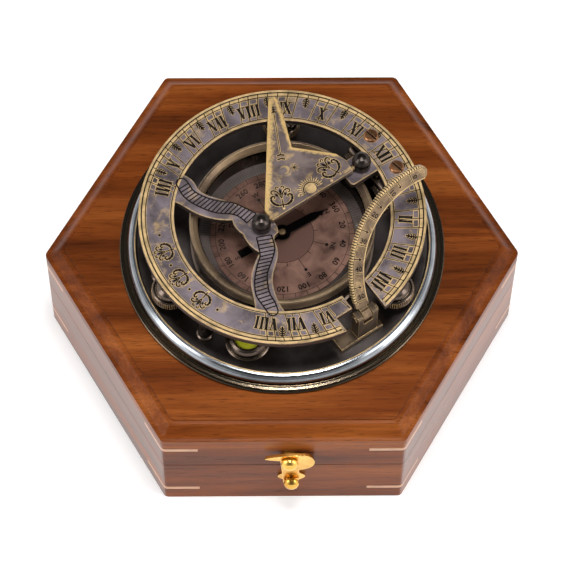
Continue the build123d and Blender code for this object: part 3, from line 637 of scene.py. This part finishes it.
# Small frame beside each hour: share of an hour, and radius.
HOUR_FRAME = ((0.035, 49.3), (0.215, 49.3), (0.215, 47.5), (0.035, 47.5), (0.035, 49.3))
HOURS = {0: "XII", 1: "XI", 2: "X", 3: "IX", 4: "VIII", 5: "VII", 6: "VI", 7: "V", 8: "IIII",
         -1: "I", -2: "II", -3: "III", -4: "IIII", -5: "V", -6: "VI", -7: "VII", -8: "VIII"}


def hour_point(hour, radius):
    """Where the line of an hour, counted from noon, crosses a circle of the ring."""
    c, s = math.cos(math.radians(15 * hour)), math.sin(math.radians(15 * hour))
    reach = -HOUR_CENTRE * c + math.sqrt(radius ** 2 - (HOUR_CENTRE * s) ** 2)
    x, y = HOUR_CENTRE + reach * c, reach * s
    turn = math.radians(HOUR_OFFSET)
    return (x * math.cos(turn) - y * math.sin(turn), x * math.sin(turn) + y * math.cos(turn))


def hour_azimuth(hour, radius):
    n, l = hour_point(hour, radius)
    return math.degrees(math.atan2(l, n))


def in_notch(n, l):
    """Whether a point lies in the notch of the hour ring."""
    return (-8.7 < n < 8.9 and l < -45.1) or (-1.9 < n < 8.9 and l < -36)


def engrave_hours(work):
    for quarter in range(-32, 33):
        hour = quarter / 4
        rim, middle, inner = [hour_point(hour, r) for r in (BAND_OUT, BAND_IN, FIELD_IN)]
        work.stroke(rim, middle, 0.32, border=0)
        if quarter % 4 == 2:
            engrave_tree(work, hour_azimuth(hour, TREE_R))
            continue
        for i in range(6):
            a, b = [tuple(p + (q - p) * (i + j) / 6 for p, q in zip(middle, inner)) for j in (0, 1)]
            work.stroke(a, b, 0.32)
    for hour, text in HOURS.items():
        engrave_numeral(work, text, hour_azimuth(hour, NUMERAL_R))
        for side in (-1, 1):
            corners = [hour_point(hour + side * share, r) for share, r in HOUR_FRAME]
            work.path(corners, 0.22, kind="rim")


def engrave_circles(work):
    for radius, width in ((RING_R - 0.42, 0.66), (RING_IN + 0.4, 0.55)):
        work.arc((0, 0), radius, 0, 360, width, kind="rim", steps=240)
    for radius, width in ((BAND_OUT, 0.34), (BAND_IN, 0.34), (FIELD_IN, 0.38)):
        work.arc((0, 0), radius, 0, 360, width, border=0.18, steps=240)
    band = (BAND_OUT + BAND_IN) / 2
    for i in range(240):
        middle = 1.5 * i + 0.75
        work.stroke(polar(band, middle - 0.76), polar(band, middle + 0.76), BAND_OUT - BAND_IN - 0.3,
                    kind="rim")


# Strokes of half a fleuron: points, first width, last width. Its star and leaf are added after them.
FLEURON_STROKES = [
    ([(0.2, -3.2), (1.4, -3.3), (2.6, -2.8)], 0.5, 1.05),
    ([(2.6, -2.8), (3.6, -1.7), (4.0, -0.3), (3.6, 0.7), (2.7, 0.8), (2.3, 0.1), (2.8, -0.3)], 1.05, 0.36),
    ([(0.1, -0.4), (0.5, 1.2), (1.4, 2.6), (2.6, 3.2)], 0.4, 0.6),
    ([(2.6, 3.2), (3.5, 2.6), (3.3, 1.7), (2.6, 1.8)], 0.6, 0.32),
    ([(0.4, 3.9), (1.1, 4.5), (1.7, 3.9), (1.2, 3.3)], 0.5, 0.3),
]


def star_points():
    points = []
    for i in range(10):
        angle = math.radians(36 * i + 10)
        radius = 0.95 if i % 2 else 0.42
        points.append((1.6 + radius * math.cos(angle), 1.1 + radius * math.sin(angle)))
    return points


def engrave_fleuron(work, n, l, lean, scale=1.0):
    """Scrolled leaf ornament, the same on both sides of its leaning middle line."""
    c, s = scale * math.cos(math.radians(lean)), scale * math.sin(math.radians(lean))

    def at(x, y):
        return (n + x * c + y * s, l - x * s + y * c)

    work.path([at(0, -4.4), at(0, -2.4), at(0, -0.6)], 0.5, 0.35)
    work.disc(at(0, -4.8), 0.5, "rim", 12)
    for side in (-1, 1):
        for points, width, end_width in FLEURON_STROKES:
            work.path([at(side * x, y) for x, y in points], width, end_width)
        work.shape([at(side * x, y) for x, y in star_points()])
    work.shape([at(0, 0.6), at(0.6, 2.2), at(0, 3.6), at(-0.6, 2.2)])


FIELD_R = 45.2


def engrave_field(work):
    """Three scrolled leaves and dots where the field has no hours."""
    for turn in (-15, 0, 15):
        n, l = polar(FIELD_R, 180 + turn)
        engrave_fleuron(work, n, l, -90 - turn, 0.82)
    for turn in (-24, -7.5, 7.5, 24):
        work.disc(polar(FIELD_R, 180 + turn), 0.5, sides=14)


# Rails of the ladder engraved on each arm, from the ring towards the hub.
LADDERS = [
    ([(-20.7, 31.6), (-20.7, 29.2), (-20.9, 26.5), (-19.5, 22.9), (-17.4, 19.6), (-14.5, 16.5),
      (-11.8, 13.9), (-10.1, 10.8), (-7.6, 5.6)],
     [(-24.6, 31.6), (-25.2, 27.2), (-24.5, 23.5), (-22.9, 19.8), (-20.9, 16.3), (-18.5, 13.4),
      (-15.6, 11.1), (-13.6, 8.6), (-12.6, 4.4)]),
    ([(-23.6, -30.6), (-22.7, -27.5), (-22.3, -23.9), (-20.4, -19.7), (-18.2, -16.5), (-14.4, -13.6),
      (-10.8, -10.5), (-9.3, -7.9), (-8.2, -4.6)],
     [(-27.2, -29.6), (-27.0, -24.5), (-26.7, -21.6), (-24.2, -17.0), (-20.7, -13.1), (-18.4, -11.0),
      (-16.2, -9.1), (-14.1, -4.6), (-13.2, -2.4)]),
]
LADDER_POINTS = 21


def smooth_line(points, count):
    """Evenly spaced points on a Catmull-Rom curve through the given ones."""
    dense = []
    padded = [points[0]] + points + [points[-1]]
    for i in range(1, len(padded) - 2):
        p0, p1, p2, p3 = [Vector(p) for p in padded[i - 1:i + 3]]
        for j in range(20):
            t = j / 20
            dense.append(0.5 * (2 * p1 + (p2 - p0) * t + (2 * p0 - 5 * p1 + 4 * p2 - p3) * t * t
                                + (3 * p1 - p0 - 3 * p2 + p3) * t ** 3))
    dense.append(Vector(points[-1]))
    lengths = [0.0]
    for a, b in zip(dense, dense[1:]):
        lengths.append(lengths[-1] + (b - a).length)
    result = []
    for i in range(count):
        target = lengths[-1] * i / (count - 1)
        k = max(j for j, v in enumerate(lengths) if v <= target + 1e-9)
        k = min(k, len(dense) - 2)
        share = (target - lengths[k]) / (lengths[k + 1] - lengths[k])
        result.append(dense[k].lerp(dense[k + 1], share))
    return result


def engrave_ladder(work, rails):
    """Black rails and rungs along an arm, with a rounded end on the ring."""
    first, second = [smooth_line(rail, LADDER_POINTS) for rail in rails]
    for a, b in zip(first[1:], second[1:]):
        work.stroke(tuple(a), tuple(b), 0.5, border=0.0)
    for rail in (first, second):
        work.path([tuple(p) for p in rail], 0.55, border=0.0)
    across = second[0] - first[0]
    outward = Vector((across.y, -across.x))
    if outward.dot(first[0]) < 0:
        outward = -outward
    middle = (first[0] + second[0]) / 2
    cap = [tuple(middle - across / 2 * math.cos(t) + outward / 2 * math.sin(t))
           for t in (math.pi * i / 12 for i in range(13))]
    work.path(cap, 0.55, border=0.0)


def ring_place(n, l, height):
    return dial_point(n, l, RING_TOP + height)


def engrave_ring():
    work = Engraving()
    engrave_circles(work)
    engrave_hours(work)
    engrave_field(work)
    for rails in LADDERS:
        engrave_ladder(work, rails)
    work.build("ring_engraving", "hour_ring", ring_place, in_notch)


# ---- gnomon ----

def engrave_arrow(work):
    """Thin arrow towards the gnomon's tip."""
    tip, tail = Vector((22.1, 37.6)), Vector((12.6, 19.2))
    along = (tip - tail).normalized()
    side = Vector((-along.y, along.x))
    work.stroke(tuple(tail), tuple(tip - along * 2), 0.3)
    for k in range(3):
        base = tip - along * (0.9 + 0.95 * k)
        half = side * (0.55 + 0.25 * k)
        work.shape([tuple(base + along * 1.1), tuple(base + half), tuple(base - half)])
    for k in range(2):
        base = tail - along * (0.2 + 1.6 * k)
        feather = [base + side * 1.4 - along * 0.2, base + along * 0.25, base - side * 1.4 - along * 0.2]
        work.path([tuple(point) for point in feather], 0.62)


MOON_AT, MOON_R = (10.1, 13.2), 1.5
STAR_AT = (13.7, 12.0)
SUN_AT = (13.6, 0.9)
# Dots of the sky: place and radius.
SPOTS = ((21.7, -0.3, 0.55), (8.2, 1.4, 0.4), (19.4, 2.6, 0.35))


def moon_width(share):
    return 0.15 + 0.85 * math.sin(math.pi * share)


def engrave_sky(work):
    """Crescent, star and half sun, of this model's own drawing."""
    for i in range(16):
        first, last = i / 16, (i + 1) / 16
        work.stroke(around(MOON_AT, MOON_R, -120 + 240 * first), around(MOON_AT, MOON_R, -120 + 240 * last),
                    moon_width(first), moon_width(last), "rim")
    for i in range(8):
        work.stroke(STAR_AT, around(STAR_AT, 1.7, 45 * i + 10), 0.36, 0.12, border=0.1)
    work.arc(SUN_AT, 3.0, 0, 180, 0.42)
    work.disc((SUN_AT[0], 1.5), 2.1, "rim")
    for i in range(17):
        angle = 180 * i / 16
        reach = 5.4 if i % 2 else 4.8
        work.stroke(around(SUN_AT, 3.7, angle), around(SUN_AT, reach, angle), 0.62, 0.2, "rim")
        if i < 16:
            between = angle + 5.6
            work.stroke(around(SUN_AT, 3.6, between), around(SUN_AT, 4.9, between), 0.16, 0.1, border=0)
    for x, y, size in SPOTS:
        work.disc((x, y), size, "rim", 12)


def engrave_gnomon():
    work = Engraving(0.2)
    engrave_arrow(work)
    engrave_sky(work)
    engrave_fleuron(work, 2.8, 4.6, 24)
    engrave_fleuron(work, 24.0, 4.6, -24)
    work.build("gnomon_engraving", "gnomon",
               lambda n, l, height: dial_point(n, l, GNOMON_TOP + height))


# ---- lettering on scales ----

def text_shape(text, size):
    """Vertices and faces, in millimetres and centred, of a short text in Blender's own font."""
    curve = bpy.data.curves.new("scale_text", "FONT")
    curve.body = text
    curve.size = size
    curve.resolution_u = 2
    curve.offset = 0.022 * size
    curve.align_x = "CENTER"
    curve.align_y = "CENTER"
    holder = bpy.data.objects.new("scale_text", curve)
    bpy.context.scene.collection.objects.link(holder)
    bpy.context.view_layer.update()
    mesh = bpy.data.meshes.new_from_object(holder)
    vertices = [(v.co.x, v.co.y) for v in mesh.vertices]
    faces = [tuple(p.vertices) for p in mesh.polygons]
    bpy.data.objects.remove(holder)
    bpy.data.curves.remove(curve)
    bpy.data.meshes.remove(mesh)
    return vertices, faces


def add_texts(name, body, texts, place, height=0.04):
    """Joins texts into one mesh. Each is (text, size, place function of the text's own x and y)."""
    vertices, faces = [], []
    for text, size, local in texts:
        points, polygons = text_shape(text, size)
        first = len(vertices)
        vertices += [place(*local(x, y), height) for x, y in points]
        faces += [[first + i for i in polygon] for polygon in polygons]
    return add_piece(name, vertices, faces, body, MATERIALS["ink"])


# ---- compass card ----

CARD_SCALE_IN, CARD_SCALE_OUT, ROSE_R = 24.6, 26.5, 11.6
NUMBERS_R, LETTERS_R = 22.4, 19.0
WINDS = ("N", "NE", "E", "SE", "S", "SW", "W", "NW")


def card_place(n, l, height):
    return dial_point(n, l, CARD_Z + height)


def around_card(radius, turn):
    """Place function of a text standing on a circle of the card."""
    def local(x, y):
        return on_ring(radius, turn - math.degrees(x / radius), 0, y)
    return local


def print_card():
    """Division, rose and numbers of the compass card."""
    work = Engraving(0)
    for radius in (CARD_SCALE_IN, CARD_SCALE_OUT, ROSE_R):
        work.arc((0, 0), radius, 0, 360, 0.16, steps=120)
    for k in range(36):
        angle = NEEDLE_TURN - 10 * k
        work.stroke(polar(CARD_SCALE_IN, angle), polar(CARD_SCALE_OUT, angle), 0.2)
    for k in range(16):
        angle = NEEDLE_TURN - 22.5 * k
        work.stroke(polar(11.7, angle), polar(16.4 if k % 2 == 0 else 13.2, angle), 0.22)
        if k % 2 == 0:
            work.disc(polar(16.8, angle), 0.62)
    work.build("card_lines", "dial", card_place)
    texts = [(str(k or 360), 3.1, around_card(NUMBERS_R, NEEDLE_TURN - k)) for k in range(0, 360, 20)]
    texts += [(wind, 2.5, around_card(LETTERS_R, NEEDLE_TURN - 45 * k)) for k, wind in enumerate(WINDS)]
    add_texts("card_numbers", "dial", texts, card_place)


def slope_place(n, l, height):
    """Point on the sloping ring around the card."""
    low, high = CARD_Z + 0.1, CARD_Z + 0.7
    share = min(1.0, max(0.0, (math.hypot(n, l) - 26.9) / 4.5))
    return dial_point(n, l, low + (high - low) * share + height)


def print_degrees():
    """Fine degree scale on the sloping ring around the card."""
    work = Engraving(0)
    for k in range(180):
        angle = NEEDLE_TURN - 2 * k
        inner, outer = (27.0, 29.3) if k % 5 else (26.8, 30.2)
        work.stroke(polar(inner, angle), polar(outer, angle), 0.16, kind="dim")
    work.build("degree_lines", "dial", slope_place)


# ---- latitude arc ----

def arc_place(n, rise, height):
    """Point on the upper face of the leaning arc: along noon, and up its plane."""
    out = ARC_FACE + height
    return dial_point(n, ARC_LINE + rise * math.sin(ARC_LEAN) - out * math.cos(ARC_LEAN),
                      ARC_Z + rise * math.cos(ARC_LEAN) + out * math.sin(ARC_LEAN))


def on_arc(radius, degrees):
    x, y = polar(radius, degrees)
    return (ARC_N - x, y)


ARC_BORDER = ARC_OUT - 1.0
LATITUDE_FIRST, LATITUDE_STEP = 8.4, 16.6      # degrees along the arc, of the first number and between two
RIB_COUNT, RIB_FIRST, RIB_STEP = 60, 8.6, 1.5
# A rib's four outline points on either side, joined to its faces; the foot stays open.
RIB_FACES = ((0, 1, 5, 4), (1, 2, 6, 5), (2, 3, 7, 6), (0, 3, 2, 1), (4, 5, 6, 7))


def along_arc(angle):
    """Place function of a text read across the arc."""
    def local(x, y):
        return on_arc((ARC_IN + ARC_BORDER) / 2 - x, angle + math.degrees(y / 36))
    return local


def engrave_arc():
    work = Engraving(0.14)
    work.path([on_arc(ARC_BORDER, 7 + 3 * i) for i in range(32)], 0.26)
    work.path([on_arc(ARC_IN + 0.2, 7 + 3 * i) for i in range(32)], 0.36, kind="rim")
    texts = []
    for k in range(6):
        angle = LATITUDE_FIRST + LATITUDE_STEP * k
        work.stroke(on_arc(ARC_IN + 0.3, angle), on_arc(ARC_BORDER, angle), 0.34)
        if k < 5:
            half = angle + LATITUDE_STEP / 2
            work.stroke(on_arc(ARC_IN + 1.3, half), on_arc(ARC_BORDER, half), 0.4)
            work.shape([on_arc(ARC_IN + 1.2, half - 0.2), on_arc(ARC_IN + 2.3, half + 0.9),
                        on_arc(ARC_IN + 2.3, half - 0.9)])
        texts.append((str(50 - 10 * k), 2.6, along_arc(angle + 2.4)))
    work.build("arc_engraving", "latitude_arc", arc_place)
    add_texts("arc_numbers", "latitude_arc", texts, arc_place)


def add_edge_ribs(name, kind, reach, half, top):
    """Ribs on the arc's convex edge, half their width in degrees; top is their top's share of it."""
    vertices, faces = [], []
    outline = ((ARC_OUT, -1), (ARC_OUT + reach, -top), (ARC_OUT + reach, top), (ARC_OUT, 1))
    for i in range(RIB_COUNT):
        angle = RIB_FIRST + RIB_STEP * i
        start = len(vertices)
        for side in (-2 * ARC_FACE, 0.05):
            vertices += [arc_place(*on_arc(r, angle + share * half), side) for r, share in outline]
        faces += [[start + k for k in face] for face in RIB_FACES]
    add_piece(name, vertices, faces, "latitude_arc", MATERIALS[kind])


def add_arc_ribs():
    """Ribs across the arc's convex edge, over a blackened ground, turned over onto its face."""
    ground = Engraving(0)
    ribs = Engraving(0)
    ground.path([on_arc(ARC_OUT - 0.42, RIB_FIRST - 0.7 + 3 * i) for i in range(31)], 0.84)
    for i in range(RIB_COUNT):
        angle = RIB_FIRST + RIB_STEP * i
        ribs.stroke(on_arc(ARC_OUT - 0.85, angle), on_arc(ARC_OUT, angle), 0.5, 0.6, "rim")
    ground.build("arc_rib_ground", "latitude_arc",
                 lambda n, rise, height: arc_place(n, rise, 0.015))
    ribs.build("arc_rib_tops", "latitude_arc",
               lambda n, rise, height: arc_place(n, rise, 0.05))
    add_edge_ribs("arc_edge_ground", "ink", 0.03, RIB_STEP / 2, 1)
    add_edge_ribs("arc_edge_ribs", "rim", 0.16, 0.45, 0.7)


# ---- turned details ----

def turned_piece(name, centre, outline, body, material, sides=96):
    """Ring or dome turned about an upright line through a point of the dial frame."""
    vertices, faces = [], []
    rows = len(outline)
    for i in range(sides):
        for radius, z in outline:
            vertices.append(dial_point(*around(centre, radius, 360 * i / sides), z))
    for i in range(sides):
        here, after = i * rows, (i + 1) % sides * rows
        for k in range(rows - 1):
            faces.append([here + k, after + k, after + k + 1, here + k + 1])
    return add_piece(name, vertices, faces, body, material, True)


KNURL_COUNT = 54
KNURL_Z = (9.6, 12.9)
KNURL_OUTLINE = ((6.75, -0.32), (6.98, 0.0), (6.75, 0.32))      # radius, share of a knurl's turn
KNURL_FACES = ((0, 1, 4, 3), (1, 2, 5, 4), (0, 2, 1), (3, 4, 5))


def add_knurling():
    """Straight knurls around the thumb heads of the levelling screws."""
    for number, azimuth in enumerate(SCREW_AZIMUTHS, 1):
        centre = polar(SCREW_RING, azimuth)
        vertices, faces = [], []
        for i in range(KNURL_COUNT):
            first = len(vertices)
            for z in KNURL_Z:
                for radius, share in KNURL_OUTLINE:
                    turn = (i + share) * 360 / KNURL_COUNT
                    vertices.append(dial_point(*around(centre, radius, turn), z))
            faces += [[first + k for k in face] for face in KNURL_FACES]
        add_piece(f"screw_knurls_{number}", vertices, faces, f"levelling_screw_{number}",
                  MATERIALS["aged"])


def add_level_details():
    """Dark sighting ring and bubble of the level."""
    centre = polar(*LEVEL_AT)
    top = FLOOR_Z + 4.1
    sight = [(1.9, top - 0.02), (2.1, top + 0.04), (2.3, top - 0.06)]
    turned_piece("level_sight_ring", centre, sight, "dial", MATERIALS["ink"], 48)
    bubble = (centre[0] + 0.5, centre[1] + 0.3)
    outline = [(0.01, top + 0.18), (0.6, top + 0.15), (1.1, top + 0.06), (1.3, top - 0.1)]
    turned_piece("level_bubble", bubble, outline, "dial", MATERIALS["liquid"], 32)


def add_screw_slots():
    """Painted shade: dark strips on the bottoms of the slots of the two screws beside XII, where the slots
    lie in shade.
    """
    work = Engraving(0)
    for side in (-RING_SCREW_SIDE, RING_SCREW_SIDE):
        x, y = polar(2.4, RING_SCREW_SLOT)
        work.stroke((RING_SCREW_AT - x, side - y), (RING_SCREW_AT + x, side + y), 0.68)
    work.build("ring_screw_slot_shade", "hour_ring",
               lambda n, l, height: dial_point(n, l, RING_TOP + 0.42 + height))


def add_dish_bead():
    """Polished bead turned on the lip of the base."""
    outline = [(LIP_R - 0.3, LIP_Z - 0.05), (LIP_R, LIP_Z + 0.1), (LIP_R + 0.3, LIP_Z - 0.1)]
    turned_piece("dish_bead_0", (0, 0), outline, "dial", MATERIALS["rim"], 180)


# ---- stage ----

FLOOR_HALF = 3.0                     # half the floor's side, metres
AIM = (0, 0, 0.04)                   # the lights look here
# Softboxes: name, place, size and power; metres and watts.
SOFTBOXES = (("top_softbox", (0.05, -0.04, 1.5), (0.34, 0.34), 12),
             ("left_softbox", (-1.0, -0.35, 0.7), (0.5, 0.9), 5),
             ("right_softbox", (1.0, -0.35, 0.7), (0.5, 0.9), 5))
WORLD_STRENGTH = 1.05
# The camera found for the photograph: angles in degrees, lens and film in millimetres, place in metres.
CAMERA_HEIGHT, CAMERA_SWING, CAMERA_ROLL = 62.96, -1.342, 0.924
CAMERA_LENS, CAMERA_FILM = 187.37, 36.0
CAMERA_AT = (-0.00904, -0.5214, 1.0423)


def add_floor():
    mesh = bpy.data.meshes.new("floor")
    corners = [(-FLOOR_HALF, -FLOOR_HALF, 0), (FLOOR_HALF, -FLOOR_HALF, 0), (FLOOR_HALF, FLOOR_HALF, 0),
               (-FLOOR_HALF, FLOOR_HALF, 0)]
    mesh.from_pydata(corners, [], [(0, 1, 2, 3)])
    floor = bpy.data.objects.new("floor", mesh)
    bpy.context.scene.collection.objects.link(floor)
    material, tree, bsdf, at = new_material("pale_floor")
    shade = ramp(tree, noise(tree, at, 3.0, 2.0), [(0.0, grey(0.78)), (1.0, grey(0.82))])
    tree.links.new(shade, bsdf.inputs["Base Color"])
    bsdf.inputs["Roughness"].default_value = 0.9
    bsdf.inputs["Specular IOR Level"].default_value = 0.1
    bsdf.inputs["Emission Color"].default_value = (1.0, 1.0, 1.0, 1.0)
    bsdf.inputs["Emission Strength"].default_value = 0.4
    floor.data.materials.append(material)


def area_light(name, at, size, power):
    light = bpy.data.lights.new(name, "AREA")
    light.shape = "RECTANGLE"
    light.size, light.size_y = size
    light.energy = power
    holder = bpy.data.objects.new(name, light)
    bpy.context.scene.collection.objects.link(holder)
    holder.location = at
    holder.rotation_euler = (Vector(AIM) - Vector(at)).to_track_quat("-Z", "Y").to_euler()


def light_scene():
    """Three softboxes in a studio that is bright low down and at its sides."""
    world = bpy.data.worlds.new("studio")
    bpy.context.scene.world = world
    world.use_nodes = True
    tree = world.node_tree
    background = tree.nodes["Background"]
    direction = add(tree, "ShaderNodeTexCoord").outputs["Generated"]
    parts = add(tree, "ShaderNodeSeparateXYZ", {0: direction})
    sky = ramp(tree, parts.outputs["Z"], [(0.25, grey(1.0)), (0.75, grey(0.26))])
    sideways = maths(tree, "ABSOLUTE", parts.outputs["X"])
    walls = ramp(tree, sideways, [(0.30, grey(0.38)), (0.80, grey(1.0))])
    tree.links.new(mix_colour(tree, 1.0, sky, walls, "MULTIPLY"), background.inputs["Color"])
    background.inputs["Strength"].default_value = WORLD_STRENGTH
    for name, at, size, power in SOFTBOXES:
        area_light(name, at, size, power)
    bpy.context.scene.view_settings.view_transform = "Standard"


def add_camera():
    """Camera at the reference view: elevation, small swing and roll, long lens."""
    elevation = math.radians(CAMERA_HEIGHT)
    right = Vector((1, 0, 0))
    up = Vector((0, math.sin(elevation), math.cos(elevation)))
    back = Vector((0, -math.cos(elevation), math.sin(elevation)))
    swing = Matrix.Rotation(math.radians(CAMERA_SWING), 3, "Z")
    roll = Matrix.Rotation(math.radians(CAMERA_ROLL), 3, "Z")
    basis = Matrix([swing @ axis for axis in (right, up, back)]).transposed() @ roll
    camera = bpy.data.objects.new("camera", bpy.data.cameras.new("camera"))
    camera.data.lens = CAMERA_LENS
    camera.data.sensor_width = CAMERA_FILM
    camera.data.clip_start = 0.05
    camera.matrix_world = Matrix.Translation(CAMERA_AT) @ basis.to_4x4()
    bpy.context.scene.collection.objects.link(camera)
    bpy.context.scene.camera = camera


dress_nodes()
engrave_ring()
engrave_gnomon()
engrave_arc()
add_arc_ribs()
print_card()
print_degrees()
add_knurling()
add_level_details()
add_screw_slots()
add_dish_bead()
add_floor()
light_scene()
add_camera()
